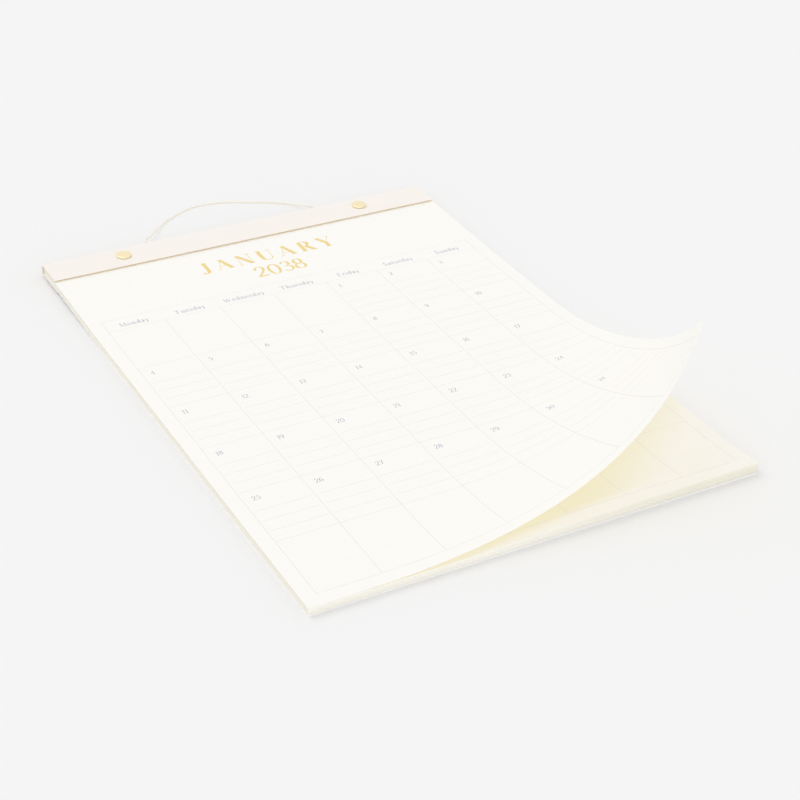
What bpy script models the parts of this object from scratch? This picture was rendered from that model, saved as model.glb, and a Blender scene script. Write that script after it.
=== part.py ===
# Wall calendar, lying on its back with the front sheet curled up at one corner.
#
# A block of month sheets and a stiff backing board are held along the top edge by one
# folded card strip. Two brass screw posts go through everything, and a thin cord, knotted
# inside the fold, makes the loop that the calendar hangs by.
#
# Metres, +Z up out of the sheets, +Y towards the bound edge, origin on the table under
# the middle of the calendar without its cord.

import math

import bmesh
import bpy
from mathutils import Matrix, Vector

# Sheets. The block is as thick as its thickness where the posts clamp it, and swells by as
# much again as its swell where the sheets lie loose.
SHEET_WIDTH = 0.300
SHEET_LENGTH = 0.4164
SHEET_THICKNESS = 0.0003
BLOCK_THICKNESS = 0.0032
BLOCK_SWELL = 0.0008
# On the side of the curl the foot of the block springs up a little. The spring starts at
# this place left of the middle and grows over its width and its depth.
FOOT_SPRING = 0.0022
FOOT_SPRING_LEFT_X = -0.060
FOOT_SPRING_WIDTH = 0.110
FOOT_SPRING_DEPTH = 0.034
FOOT_STATIONS = 5
BOARD_THICKNESS = 0.0009

# Seats: the running gap that neighbours keep
SEAT_GAP = 0.0003

# Folded header strip, as wide as the sheets
CARD_THICKNESS = 0.0008
FRONT_FLAP_DEPTH = 0.0266
BACK_FLAP_DEPTH = 0.0311
FLAP_OPENING = 0.0009
FOLD_INNER_RADIUS = 0.0006
FOLD_STEPS = 6
KNOT_ROOM = 0.0040

# Screw posts, front half and rear half
POST_SPACING = 0.188
POST_FROM_SPINE = 0.0132
POST_HEAD_DIAMETER = 0.0104
POST_HEAD_THICKNESS = 0.0012
POST_HEAD_ROUNDING = 0.0003
POST_BARREL_DIAMETER = 0.0050
POST_END_WALL = 0.0008
SCREW_HEAD_DIAMETER = 0.0100
SCREW_HEAD_THICKNESS = 0.0009
SCREW_HEAD_ROUNDING = 0.0002
SCREW_SHANK_DIAMETER = 0.0030
SCREW_SHANK_LENGTH = 0.0055
SCREW_SLOT_WIDTH = 0.0012
SCREW_SLOT_DEPTH = 0.0004
HOLE_CLEARANCE = 0.0003
TURNED_STEPS = 40
ROUNDING_STEPS = 3
MERGE_DISTANCE = 0.00001

# Rise of the sheets from the table onto the rear flap
RISE_LENGTH = 0.090
RISE_STATIONS = 10

# Curl of the front sheet. The crease where it starts runs between a point on the right
# edge and a point on the bottom edge, both measured from the lower right corner. The
# straight lines of the curl fan out from a far point on that crease, past the right edge.
CREASE_UP_RIGHT_EDGE = 0.2260
CREASE_ALONG_BOTTOM_EDGE = 0.2680
FAN_POINT_PAST_EDGE = 0.4140
CURL_ANGLE = math.radians(79.0)
CURL_BEND_SHARES = (0.585, 0.665, -0.250)
CURL_LINES = 30
CURL_SUBSTEPS = 8

# Hanging cord
CORD_DIAMETER = 0.0015
CORD_SPACING = 0.136
CORD_CLEARANCE = 0.0004
KNOT_DIAMETER = 0.0032
KNOT_STEPS = 6
KNOT_END_SHARE = 0.4
CORD_POINTS = 58
ROUTE_SUBSTEPS = 12

# The cord's route: sideways from the middle, out from the spine, and height on the table.
# Its two ends are added from the holes.
CORD_ROUTE = (
    (-0.0690, 0.0048, 0.0049),
    (-0.0688, 0.0098, 0.0046),
    (-0.0655, 0.0140, 0.0041),
    (-0.0616, 0.0177, 0.0036),
    (-0.0521, 0.0283, 0.0022),
    (-0.0430, 0.0376, 0.0012),
    (-0.0345, 0.0437, 0.0008),
    (-0.0266, 0.0485, 0.0008),
    (-0.0145, 0.0531, 0.0008),
    (-0.0039, 0.0541, 0.0008),
    (0.0077, 0.0524, 0.0008),
    (0.0184, 0.0486, 0.0008),
    (0.0284, 0.0435, 0.0008),
    (0.0386, 0.0383, 0.0008),
    (0.0480, 0.0327, 0.0009),
    (0.0545, 0.0268, 0.0013),
    (0.0588, 0.0205, 0.0022),
    (0.0615, 0.0150, 0.0033),
    (0.0645, 0.0097, 0.0044),
    (0.0672, 0.0048, 0.0049),
)

# Cutters run this far past the faces that they open
CUT_OVERRUN = 0.002

# Places along the length, from the bound edge to the free edge
OVERALL_LENGTH = SHEET_LENGTH + KNOT_ROOM + CARD_THICKNESS
SPINE_BACK_Y = OVERALL_LENGTH / 2
SHEET_TOP_Y = SPINE_BACK_Y - CARD_THICKNESS - KNOT_ROOM
SHEET_BOTTOM_Y = SHEET_TOP_Y - SHEET_LENGTH
POST_Y = SPINE_BACK_Y - POST_FROM_SPINE
REAR_FLAP_EDGE_Y = SPINE_BACK_Y - BACK_FLAP_DEPTH
FRONT_FLAP_EDGE_Y = SPINE_BACK_Y - FRONT_FLAP_DEPTH
RISE_START_Y = REAR_FLAP_EDGE_Y - RISE_LENGTH

# Heights at the bound edge
REAR_FLAP_BOTTOM_Z = SCREW_HEAD_THICKNESS + SEAT_GAP
REAR_FLAP_TOP_Z = REAR_FLAP_BOTTOM_Z + CARD_THICKNESS
RISE_HEIGHT = REAR_FLAP_TOP_Z + SEAT_GAP
BLOCK_SEAT_Z = BOARD_THICKNESS + SEAT_GAP
SHEET_SEAT_Z = BLOCK_SEAT_Z + BLOCK_THICKNESS + SEAT_GAP
SHEET_FACE_Z = SHEET_SEAT_Z + SHEET_THICKNESS
FRONT_FLAP_BOTTOM_Z = RISE_HEIGHT + SHEET_FACE_Z + FLAP_OPENING
FRONT_FLAP_TOP_Z = FRONT_FLAP_BOTTOM_Z + CARD_THICKNESS
POST_HEAD_BOTTOM_Z = FRONT_FLAP_TOP_Z + SEAT_GAP
CORD_HOLE_Z = (REAR_FLAP_BOTTOM_Z + FRONT_FLAP_TOP_Z) / 2

POST_HOLE_RADIUS = POST_BARREL_DIAMETER / 2 + HOLE_CLEARANCE
CORD_HOLE_RADIUS = CORD_DIAMETER / 2 + CORD_CLEARANCE
SIDES = (("left", -1), ("right", 1))


def clear_scene():
    for old in list(bpy.data.objects):
        bpy.data.objects.remove(old)


def new_collection(name):
    made = bpy.data.collections.new(name)
    bpy.context.scene.collection.children.link(made)
    return made


def linear(channel):
    """One sRGB channel, 0 to 1, as a linear value."""
    if channel <= 0.04045:
        return channel / 12.92
    return ((channel + 0.055) / 1.055) ** 2.4


def material(name, hex_colour, roughness, metallic=0.0):
    made = bpy.data.materials.new(name)
    made.use_nodes = True
    shader = made.node_tree.nodes["Principled BSDF"]
    channels = [int(hex_colour[i : i + 2], 16) / 255 for i in (1, 3, 5)]
    shader.inputs["Base Color"].default_value = (*map(linear, channels), 1.0)
    shader.inputs["Roughness"].default_value = roughness
    shader.inputs["Metallic"].default_value = metallic
    return made


def add_object(name, data, collection, finish=None):
    made = bpy.data.objects.new(name, data)
    collection.objects.link(made)
    if finish is not None:
        data.materials.append(finish)
    return made


def mesh_from(bm, name):
    data = bpy.data.meshes.new(name)
    bm.to_mesh(data)
    bm.free()
    return data


def smoothstep(value):
    value = min(max(value, 0.0), 1.0)
    return value * value * (3 - 2 * value)


def bound_share(y):
    """0 where the sheets lie loose on the table, 1 where they are clamped on the rear flap."""
    return smoothstep((y - RISE_START_Y) / RISE_LENGTH)


def rise(y):
    """Height of the stack above the table at y: it lies flat, then climbs to the rear flap."""
    return RISE_HEIGHT * bound_share(y)


def swell(y):
    """How far the loose sheets at y stand above their clamped thickness."""
    return BLOCK_SWELL * (1 - bound_share(y))


def foot_spring(x, y):
    """How far the foot of the block at x and y has sprung up beside the curl."""
    along = smoothstep((x - FOOT_SPRING_LEFT_X) / FOOT_SPRING_WIDTH)
    return FOOT_SPRING * along * smoothstep(1 - (y - SHEET_BOTTOM_Y) / FOOT_SPRING_DEPTH)


def rise_stations():
    """Places across the rise where the sheets bend."""
    return [RISE_START_Y + RISE_LENGTH * step / RISE_STATIONS for step in range(RISE_STATIONS + 1)]


def cut_along(bm, point, normal):
    """Cuts every face along a plane, and keeps both sides."""
    everything = bm.verts[:] + bm.edges[:] + bm.faces[:]
    bmesh.ops.bisect_plane(bm, geom=everything, plane_co=point, plane_no=normal)


# Curl of the front sheet


def curl_frame():
    """The fan point, the direction from it along the crease, and the direction across it."""
    corner = Vector((SHEET_WIDTH / 2, SHEET_BOTTOM_Y, 0))
    on_edge = corner + Vector((0, CREASE_UP_RIGHT_EDGE, 0))
    on_bottom = corner - Vector((CREASE_ALONG_BOTTOM_EDGE, 0, 0))
    along = (on_bottom - on_edge).normalized()
    fan_point = on_edge - along * FAN_POINT_PAST_EDGE
    across = Vector((-along.y, along.x, 0))
    return fan_point, along, across


def fan_angle(point):
    """Angle between the crease and the straight line of the fan through a point."""
    fan_point, along, across = curl_frame()
    arm = point - fan_point
    return math.atan2(arm.dot(across), arm.dot(along))


def bent_direction(angle):
    """Where the fan's straight line at this angle points once the sheet is curled."""
    corner_angle = fan_angle(Vector((SHEET_WIDTH / 2, SHEET_BOTTOM_Y, 0)))
    _, line, side = curl_frame()
    steps = max(1, round(CURL_SUBSTEPS * CURL_LINES * angle / corner_angle))
    step = angle / steps
    start_share, middle_share, end_share = CURL_BEND_SHARES
    for i in range(steps):
        share = (i + 0.5) * step / corner_angle
        bend = start_share + 2 * middle_share * share + 3 * end_share * share * share
        bend *= CURL_ANGLE / corner_angle
        turn = line.cross(side) + line * bend
        turned = Matrix.Rotation(turn.length * step, 3, turn)
        line = turned @ line
        side = turned @ side
    return line


def curl(point):
    """Moves a point of the flat sheet to its place on the curled one."""
    angle = fan_angle(point)
    if angle <= 0:
        return point
    fan_point = curl_frame()[0]
    return fan_point + bent_direction(angle) * (point - fan_point).length


# Sheets and board


def hole_cutter(name, radius, depth, place, collection):
    """A round bar, upright on its middle, that opens one hole."""
    bm = bmesh.new()
    bmesh.ops.create_cone(
        bm, cap_ends=True, segments=TURNED_STEPS, radius1=radius, radius2=radius, depth=depth
    )
    cutter = add_object(name, mesh_from(bm, name), collection)
    cutter.location = place
    hide_cutter(cutter)
    return cutter


def post_hole_cutters(collection):
    """One straight hole through the whole stack for each screw post."""
    height = POST_HEAD_BOTTOM_Z + CUT_OVERRUN
    cutters = []
    for side, sign in SIDES:
        place = (sign * POST_SPACING / 2, POST_Y, (height - CUT_OVERRUN) / 2)
        depth = height + CUT_OVERRUN
        cutters.append(hole_cutter(f"post_hole_{side}", POST_HOLE_RADIUS, depth, place, collection))
    return cutters


def cord_hole_cutters(collection):
    """A hole through the spine for each end of the cord."""
    depth = CARD_THICKNESS + 2 * CUT_OVERRUN
    cutters = []
    for side, sign in SIDES:
        place = (sign * CORD_SPACING / 2, SPINE_BACK_Y - CARD_THICKNESS / 2, CORD_HOLE_Z)
        cutter = hole_cutter(f"cord_hole_{side}", CORD_HOLE_RADIUS, depth, place, collection)
        cutter.rotation_euler.x = math.pi / 2
        cutters.append(cutter)
    return cutters


def hide_cutter(cutter):
    cutter.hide_render = True
    cutter.display_type = "WIRE"


def cut_with(piece, cutters):
    for cutter in cutters:
        cut = piece.modifiers.new(cutter.name, "BOOLEAN")
        cut.operation = "DIFFERENCE"
        cut.object = cutter


def stack_layer(name, seat_z, thickness, loose, finish, collection, cutters):
    """One layer of the stack: flat on the table, then bent up onto the rear flap.

    The upper face of a loose layer also follows the swell of its sheets, and springs up at
    its foot.
    """
    bm = bmesh.new()
    bmesh.ops.create_cube(bm, size=1)
    bmesh.ops.scale(bm, vec=(SHEET_WIDTH, SHEET_LENGTH, thickness), verts=bm.verts)
    middle = Vector((0, (SHEET_TOP_Y + SHEET_BOTTOM_Y) / 2, seat_z + thickness / 2))
    bmesh.ops.translate(bm, vec=middle, verts=bm.verts)
    for station in rise_stations():
        cut_along(bm, (0, station, 0), (0, 1, 0))
    if loose:
        for step in range(FOOT_STATIONS):
            share = step / FOOT_STATIONS
            cut_along(bm, (FOOT_SPRING_LEFT_X + share * FOOT_SPRING_WIDTH, 0, 0), (1, 0, 0))
            cut_along(bm, (0, SHEET_BOTTOM_Y + (1 - share) * FOOT_SPRING_DEPTH, 0), (0, 1, 0))
    for vert in bm.verts:
        if loose and vert.co.z > middle.z:
            vert.co.z += swell(vert.co.y) + foot_spring(vert.co.x, vert.co.y)
        vert.co.z += rise(vert.co.y)
    layer = add_object(name, mesh_from(bm, name), collection, finish)
    cut_with(layer, cutters)
    return layer


def front_sheet(finish, collection, cutters):
    """The top month sheet, one thickness of paper cut along its bends and curled."""
    bm = bmesh.new()
    bmesh.ops.create_grid(bm, x_segments=1, y_segments=1, size=0.5)
    bmesh.ops.scale(bm, vec=(SHEET_WIDTH, SHEET_LENGTH, 1), verts=bm.verts)
    middle_y = (SHEET_TOP_Y + SHEET_BOTTOM_Y) / 2
    bmesh.ops.translate(bm, vec=(0, middle_y, 0), verts=bm.verts)
    for station in rise_stations():
        cut_along(bm, (0, station, 0), (0, 1, 0))
    fan_point, along, across = curl_frame()
    corner_angle = fan_angle(Vector((SHEET_WIDTH / 2, SHEET_BOTTOM_Y, 0)))
    for i in range(CURL_LINES):
        angle = corner_angle * i / CURL_LINES
        normal = across * math.cos(angle) - along * math.sin(angle)
        cut_along(bm, fan_point, normal)
    for vert in bm.verts:
        vert.co = curl(vert.co)
        vert.co.z += rise(vert.co.y) + swell(vert.co.y)
    bmesh.ops.translate(bm, vec=(0, 0, SHEET_SEAT_Z + SHEET_THICKNESS / 2), verts=bm.verts)
    data = mesh_from(bm, "front_sheet")
    data.shade_smooth()
    sheet = add_object("front_sheet", data, collection, finish)
    thicken(sheet, SHEET_THICKNESS)
    cut_with(sheet, cutters)
    return sheet


def thicken(piece, thickness):
    shell = piece.modifiers.new("thickness", "SOLIDIFY")
    shell.thickness = thickness
    shell.offset = 0
    shell.use_even_offset = True


# Header strip


def fold_arc(centre, start, end):
    """Points of a fold's middle line round its centre, angles in quarter turns."""
    radius = FOLD_INNER_RADIUS + CARD_THICKNESS / 2
    points = []
    for step in range(FOLD_STEPS + 1):
        turn = (start + (end - start) * step / FOLD_STEPS) * math.pi / 2
        points.append((centre[0] + radius * math.cos(turn), centre[1] + radius * math.sin(turn)))
    return points


def header_strip(finish, collection, cutters):
    """One strip of card folded twice: rear flap, narrow spine and front flap."""
    fold_reach = FOLD_INNER_RADIUS + CARD_THICKNESS
    low_fold = (SPINE_BACK_Y - fold_reach, REAR_FLAP_BOTTOM_Z + fold_reach)
    high_fold = (SPINE_BACK_Y - fold_reach, FRONT_FLAP_TOP_Z - fold_reach)
    profile = [(REAR_FLAP_EDGE_Y, REAR_FLAP_BOTTOM_Z + CARD_THICKNESS / 2)]
    profile += fold_arc(low_fold, -1, 0)
    profile += fold_arc(high_fold, 0, 1)
    profile.append((FRONT_FLAP_EDGE_Y, FRONT_FLAP_TOP_Z - CARD_THICKNESS / 2))
    bm = bmesh.new()
    verts = [bm.verts.new((-SHEET_WIDTH / 2, y, z)) for y, z in profile]
    edges = [bm.edges.new(pair) for pair in zip(verts, verts[1:])]
    grown = bmesh.ops.extrude_edge_only(bm, edges=edges)["geom"]
    far_side = [item for item in grown if isinstance(item, bmesh.types.BMVert)]
    bmesh.ops.translate(bm, vec=(SHEET_WIDTH, 0, 0), verts=far_side)
    data = mesh_from(bm, "header_strip")
    strip = add_object("header_strip", data, collection, finish)
    thicken(strip, CARD_THICKNESS)
    cut_with(strip, cutters)
    return strip


# Screw posts


def turned(name, profile, place, finish, collection):
    """A solid of revolution from a profile of (radius, height) points, top to bottom."""
    bm = bmesh.new()
    verts = [bm.verts.new((radius, 0, height)) for radius, height in profile]
    for pair in zip(verts, verts[1:]):
        bm.edges.new(pair)
    piece = add_object(name, mesh_from(bm, name), collection, finish)
    piece.location = place
    spin = piece.modifiers.new("turning", "SCREW")
    spin.steps = TURNED_STEPS
    spin.render_steps = TURNED_STEPS
    spin.use_merge_vertices = True
    spin.merge_threshold = MERGE_DISTANCE
    spin.use_smooth_shade = True
    return piece


def flatten_shading(piece):
    """Lets the flat faces keep their shading beside the rounded rims."""
    piece.modifiers.new("flat_faces", "WEIGHTED_NORMAL")


def rounded_rim(radius, height, rounding, start, end):
    """Profile points of a rounded rim, angles in quarter turns from the radius outwards."""
    points = []
    for step in range(ROUNDING_STEPS + 1):
        turn = (start + (end - start) * step / ROUNDING_STEPS) * math.pi / 2
        points.append((radius + rounding * math.cos(turn), height + rounding * math.sin(turn)))
    return points


def binding_post(side, sign, finish, collection):
    """Front half of the screw post: flat head, and a barrel with a blind bore."""
    head_radius = POST_HEAD_DIAMETER / 2
    barrel_radius = POST_BARREL_DIAMETER / 2
    bore_radius = SCREW_SHANK_DIAMETER / 2 + SEAT_GAP
    head_top = POST_HEAD_BOTTOM_Z + POST_HEAD_THICKNESS
    barrel_end = REAR_FLAP_BOTTOM_Z
    bore_end = POST_HEAD_BOTTOM_Z - POST_END_WALL
    profile = [(0, head_top)]
    profile += rounded_rim(
        head_radius - POST_HEAD_ROUNDING, head_top - POST_HEAD_ROUNDING, POST_HEAD_ROUNDING, 1, 0
    )
    profile += [(head_radius, POST_HEAD_BOTTOM_Z), (barrel_radius, POST_HEAD_BOTTOM_Z)]
    profile += [(barrel_radius, barrel_end), (bore_radius, barrel_end)]
    profile += [(bore_radius, bore_end), (0, bore_end)]
    place = (sign * POST_SPACING / 2, POST_Y, 0)
    post = turned(f"binding_post_{side}", profile, place, finish, collection)
    flatten_shading(post)
    return post


def binding_screw(side, sign, finish, collection, cutter_collection):
    """Rear half of the screw post: slotted head under the rear flap, and its shank."""
    head_radius = SCREW_HEAD_DIAMETER / 2
    shank_radius = SCREW_SHANK_DIAMETER / 2
    head_top = SCREW_HEAD_THICKNESS
    shank_top = head_top + SCREW_SHANK_LENGTH
    profile = [(0, shank_top), (shank_radius, shank_top), (shank_radius, head_top)]
    profile += [(head_radius, head_top)]
    profile += rounded_rim(
        head_radius - SCREW_HEAD_ROUNDING, SCREW_HEAD_ROUNDING, SCREW_HEAD_ROUNDING, 0, -1
    )
    profile += [(0, 0)]
    place = (sign * POST_SPACING / 2, POST_Y, 0)
    screw = turned(f"binding_screw_{side}", profile, place, finish, collection)
    cut_with(screw, [screw_slot_cutter(side, sign, cutter_collection)])
    flatten_shading(screw)
    return screw


def screw_slot_cutter(side, sign, collection):
    """A bar across the screw's outer face."""
    bm = bmesh.new()
    bmesh.ops.create_cube(bm, size=1)
    size = (SCREW_HEAD_DIAMETER + 2 * CUT_OVERRUN, SCREW_SLOT_WIDTH, SCREW_SLOT_DEPTH + CUT_OVERRUN)
    bmesh.ops.scale(bm, vec=size, verts=bm.verts)
    slot = add_object(f"screw_slot_{side}", mesh_from(bm, f"screw_slot_{side}"), collection)
    slot.location = (sign * POST_SPACING / 2, POST_Y, (SCREW_SLOT_DEPTH - CUT_OVERRUN) / 2)
    hide_cutter(slot)
    return slot


# Hanging cord


def smooth_route(route, count):
    """Evenly spread points on a smooth curve through the route's own points."""
    ends = [2 * route[0] - route[1]] + route + [2 * route[-1] - route[-2]]
    fine = []
    for before, start, end, after in zip(ends, ends[1:], ends[2:], ends[3:]):
        for i in range(ROUTE_SUBSTEPS):
            t = i / ROUTE_SUBSTEPS
            bend = (2 * before - 5 * start + 4 * end - after) * t * t
            swing = (3 * start - before - 3 * end + after) * t * t * t
            fine.append((2 * start + (end - before) * t + bend + swing) / 2)
    fine.append(route[-1])
    reach = [0.0]
    for start, end in zip(fine, fine[1:]):
        reach.append(reach[-1] + (end - start).length)
    points = []
    place = 0
    for i in range(count):
        target = reach[-1] * i / (count - 1)
        while place < len(reach) - 2 and reach[place + 1] < target:
            place += 1
        share = (target - reach[place]) / (reach[place + 1] - reach[place])
        points.append(fine[place].lerp(fine[place + 1], share))
    return points


def knot_points(sign):
    """Centres and width shares of the knot behind one hole, from its far side outwards."""
    knot_far_y = SPINE_BACK_Y - CARD_THICKNESS - SEAT_GAP - KNOT_DIAMETER
    widest_share = KNOT_DIAMETER / CORD_DIAMETER
    points = []
    for step in range(KNOT_STEPS + 1):
        share = step / KNOT_STEPS
        y = knot_far_y + KNOT_DIAMETER * share
        thinnest_share = 1.0 if step == KNOT_STEPS else KNOT_END_SHARE
        width_share = max(thinnest_share, widest_share * math.sin(math.pi * share))
        points.append((Vector((sign * CORD_SPACING / 2, y, CORD_HOLE_Z)), width_share))
    return points


def hanging_cord(finish, collection):
    """The cord from knot to knot, out of the spine and round on the table."""
    exits = [Vector((sign * CORD_SPACING / 2, SPINE_BACK_Y, CORD_HOLE_Z)) for _, sign in SIDES]
    route = [Vector((x, SPINE_BACK_Y + out, z)) for x, out, z in CORD_ROUTE]
    line = smooth_route([exits[0]] + route + [exits[1]], CORD_POINTS)
    points = knot_points(-1) + [(point, 1.0) for point in line] + knot_points(1)[::-1]
    data = bpy.data.curves.new("hanging_cord", "CURVE")
    data.dimensions = "3D"
    data.bevel_depth = CORD_DIAMETER / 2
    data.bevel_resolution = 2
    data.use_fill_caps = True
    spline = data.splines.new("POLY")
    spline.points.add(len(points) - 1)
    for spot, (place, width_share) in zip(spline.points, points):
        spot.co = (*place, 1)
        spot.radius = width_share
    return add_object("hanging_cord", data, collection, finish)


def build():
    clear_scene()
    pieces = new_collection("wall_calendar")
    cutters = new_collection("cutters")

    paper = material("sheet_paper", "#FBF9F4", 0.85)
    edges = material("block_paper", "#F4F0E2", 0.85)
    board = material("backing_board", "#F6F1E4", 0.80)
    card = material("header_card", "#F6F0E9", 0.70)
    brass = material("polished_brass", "#E9C987", 0.25, metallic=1.0)
    thread = material("cord_thread", "#EBDCB8", 0.75)

    post_holes = post_hole_cutters(cutters)
    cord_holes = cord_hole_cutters(cutters)

    header_strip(card, pieces, post_holes + cord_holes)
    front_sheet(paper, pieces, post_holes)
    stack_layer("page_block", BLOCK_SEAT_Z, BLOCK_THICKNESS, True, edges, pieces, post_holes)
    stack_layer("back_board", 0, BOARD_THICKNESS, False, board, pieces, post_holes)
    for side, sign in SIDES:
        binding_post(side, sign, brass, pieces)
        binding_screw(side, sign, brass, pieces, cutters)
    hanging_cord(thread, pieces)


build()
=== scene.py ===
# %% [markdown]
# A wall calendar lies on a pale table. Its month sheets and a stiff board are held along
# one edge by a folded card header with two small gold screw posts, and a thin cord makes
# the loop that it hangs by. One corner of the front sheet has curled up.
# This file dresses the calendar's construction model. It reads as a lesson: each step
# first says what the thing is and how it could be made.

# %% Load the construction model
import math

import bpy
import numpy as np
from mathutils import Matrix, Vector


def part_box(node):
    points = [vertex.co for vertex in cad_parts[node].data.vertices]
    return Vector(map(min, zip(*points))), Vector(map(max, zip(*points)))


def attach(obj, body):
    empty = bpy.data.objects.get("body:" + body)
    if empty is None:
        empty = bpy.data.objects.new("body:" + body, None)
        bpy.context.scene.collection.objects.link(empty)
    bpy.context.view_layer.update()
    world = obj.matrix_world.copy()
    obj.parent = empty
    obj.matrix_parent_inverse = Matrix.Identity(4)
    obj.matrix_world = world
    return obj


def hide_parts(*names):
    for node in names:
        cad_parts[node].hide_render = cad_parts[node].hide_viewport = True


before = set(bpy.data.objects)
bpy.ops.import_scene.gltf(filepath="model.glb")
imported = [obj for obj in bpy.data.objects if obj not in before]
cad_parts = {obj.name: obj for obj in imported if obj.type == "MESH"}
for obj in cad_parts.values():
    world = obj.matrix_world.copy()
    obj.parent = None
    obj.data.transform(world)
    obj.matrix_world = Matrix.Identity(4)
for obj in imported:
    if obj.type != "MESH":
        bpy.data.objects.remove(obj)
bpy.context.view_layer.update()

MM = 0.001
print("construction nodes:", ", ".join(sorted(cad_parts)))

# %% [markdown]
# The camera comes first, so that every later step can be judged in the same picture. It
# could be aimed by eye, but the printed grid is a set of parallel lines, and their
# perspective fixes its place: to the lower left of the calendar, about 1.15 m away,
# looking down at 32 degrees through a lens of about 80 mm.

# %% Camera
CAMERA_PLACE = (-0.4744, -0.8673, 0.5990)
CAMERA_TURN = (57.718, -1.665, -28.748)
LENS_MM = 79.81
SENSOR_MM = 36.0


def put_in_scene(name, data):
    thing = bpy.data.objects.new(name, data)
    bpy.context.scene.collection.objects.link(thing)
    return thing


lens = bpy.data.cameras.new("camera")
lens.lens = LENS_MM
lens.sensor_width = SENSOR_MM
camera = put_in_scene("camera", lens)
camera.location = CAMERA_PLACE
camera.rotation_euler = [math.radians(turn) for turn in CAMERA_TURN]
bpy.context.scene.camera = camera
print(f"camera at {CAMERA_PLACE}, lens {LENS_MM} mm")

# %% [markdown]
# Everything below is made from a few small helpers. Colours are written as sRGB hex
# values, and a renderer counts in linear light, so one function turns the first into the
# second. A material is a tree of nodes, and one function adds a node with its settings
# and its links. A piece is a mesh that is tied to the calendar's body and moves with it.

# %% Helpers for colours, nodes and pieces
BODY = "root"


def linear(hex_colour):
    """An sRGB hex colour as linear red, green, blue and alpha."""
    channels = [int(hex_colour[i : i + 2], 16) / 255 for i in (1, 3, 5)]
    return (*(c / 12.92 if c <= 0.04045 else ((c + 0.055) / 1.055) ** 2.4 for c in channels), 1.0)


def add_node(tree, kind, settings=(), inputs=()):
    """Adds a shader node, with its own choices, and values or sockets for its inputs."""
    node = tree.nodes.new("ShaderNode" + kind)
    for name, value in dict(settings).items():
        setattr(node, name, value)
    for name, value in dict(inputs).items():
        if isinstance(value, bpy.types.NodeSocket):
            tree.links.new(value, node.inputs[name])
        else:
            node.inputs[name].default_value = value
    return node


def inside(material):
    """A material's tree of nodes, and its main shader."""
    return material.node_tree, material.node_tree.nodes["Principled BSDF"]


def new_material(name, **constants):
    """A material with one Principled shader, and the shader's constant values."""
    material = bpy.data.materials.new(name)
    material.use_nodes = True
    for socket, value in constants.items():
        inside(material)[1].inputs[socket.replace("_", " ")].default_value = value
    return material


def add_piece(name, points, faces, finish, slot=None):
    """A mesh piece that rides on the calendar."""
    mesh = bpy.data.meshes.new(name)
    mesh.from_pydata([tuple(map(float, point)) for point in points], [], faces)
    mesh.materials.append(finish)
    piece = put_in_scene(name, mesh)
    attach(piece, BODY)
    return piece


print("linear value of middle grey:", round(linear("#808080")[0], 3))

# %% [markdown]
# The hanging cord is three strands of waxed cotton, twisted together, 1.5 mm thick in
# all. A plain bevelled curve would look like wire. Here a tube is built ring by ring along
# the cord's route. Each ring is a rounded three-lobed section, turned a little further
# than the ring before. The wax leaves a soft, slightly uneven surface that is neither
# glossy nor fluffy. Like most surfaces here it gets a grain: noise of a given size, which
# mixes two near tones, raises the surface a little, or both.

# %% Material of the cord: waxed cotton
FIBRE_TUFT = 0.5 * MM


def retone(finish, share, before=None, after=None, blend="MIX"):
    """Goes from one tone to another as the share grows. None is the tone so far."""
    tree, shader = inside(finish)
    target = shader.inputs["Base Color"]
    tones = [linear(tone) if tone else target.links[0].from_socket for tone in (before, after)]
    settings = {"data_type": "RGBA", "blend_type": blend}
    colour = add_node(tree, "Mix", settings, {0: share, 6: tones[0], 7: tones[1]})
    tree.links.new(colour.outputs[2], target)


def add_grain(finish, size, tones=None, bump=None, detail=3.0, roughness=0.6, place=None):
    """Noise that mixes a dark and a light tone, or raises the surface by bump, or both."""
    tree, shader = inside(finish)
    if place is None:
        place = add_node(tree, "TexCoord").outputs["Object"]
    inputs = {"Vector": place, "Scale": 1 / size, "Detail": detail, "Roughness": roughness}
    noise = add_node(tree, "TexNoise", inputs=inputs).outputs["Fac"]
    if tones:
        retone(finish, noise, *tones)
    if bump:
        inputs = {"Strength": bump[0], "Distance": bump[1], "Height": noise}
        raised = add_node(tree, "Bump", inputs=inputs)
        tree.links.new(raised.outputs["Normal"], shader.inputs["Normal"])


cotton = new_material("waxed_cotton", Roughness=0.62, IOR=1.45, Sheen_Weight=0.25)
add_grain(cotton, FIBRE_TUFT, ("#F9F3E4", "#FFFDF8"), (0.5, 0.08 * MM), detail=4.0)
print("material:", cotton.name)

# %% [markdown]
# The cord follows the construction model's route. It leaves a hole in the spine, runs
# straight out for a few diameters, sinks to the table and comes back in one loose curve.
# A smooth line is drawn through the points, and the rings are set along it. Neighbouring
# rings keep the same side up, so the twist comes from the lobes alone.

# %% Cord
CORD_DIAMETER = 1.5 * MM
CORD_SPACING = 0.136
CORD_HOLE_Z = 0.0051
CARD_THICKNESS = 0.8 * MM
CORD_STRANDS = 3
CORD_TWIST_LENGTH = 4.5 * MM
LOBE_DEPTH_SHARE = 0.24
RINGS_IN_A_TWIST = 11
RING_SIDES = 18
ROUTE_SUBSTEPS = 24
KNOT_RADIUS = 1.6 * MM
KNOT_GAP = 0.3 * MM
KNOT_THREAD_RADIUS = 0.4 * MM
SPINE_BACK_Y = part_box("header_strip")[1].y
KNOT_Y = SPINE_BACK_Y - CARD_THICKNESS - KNOT_GAP - KNOT_RADIUS

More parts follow.
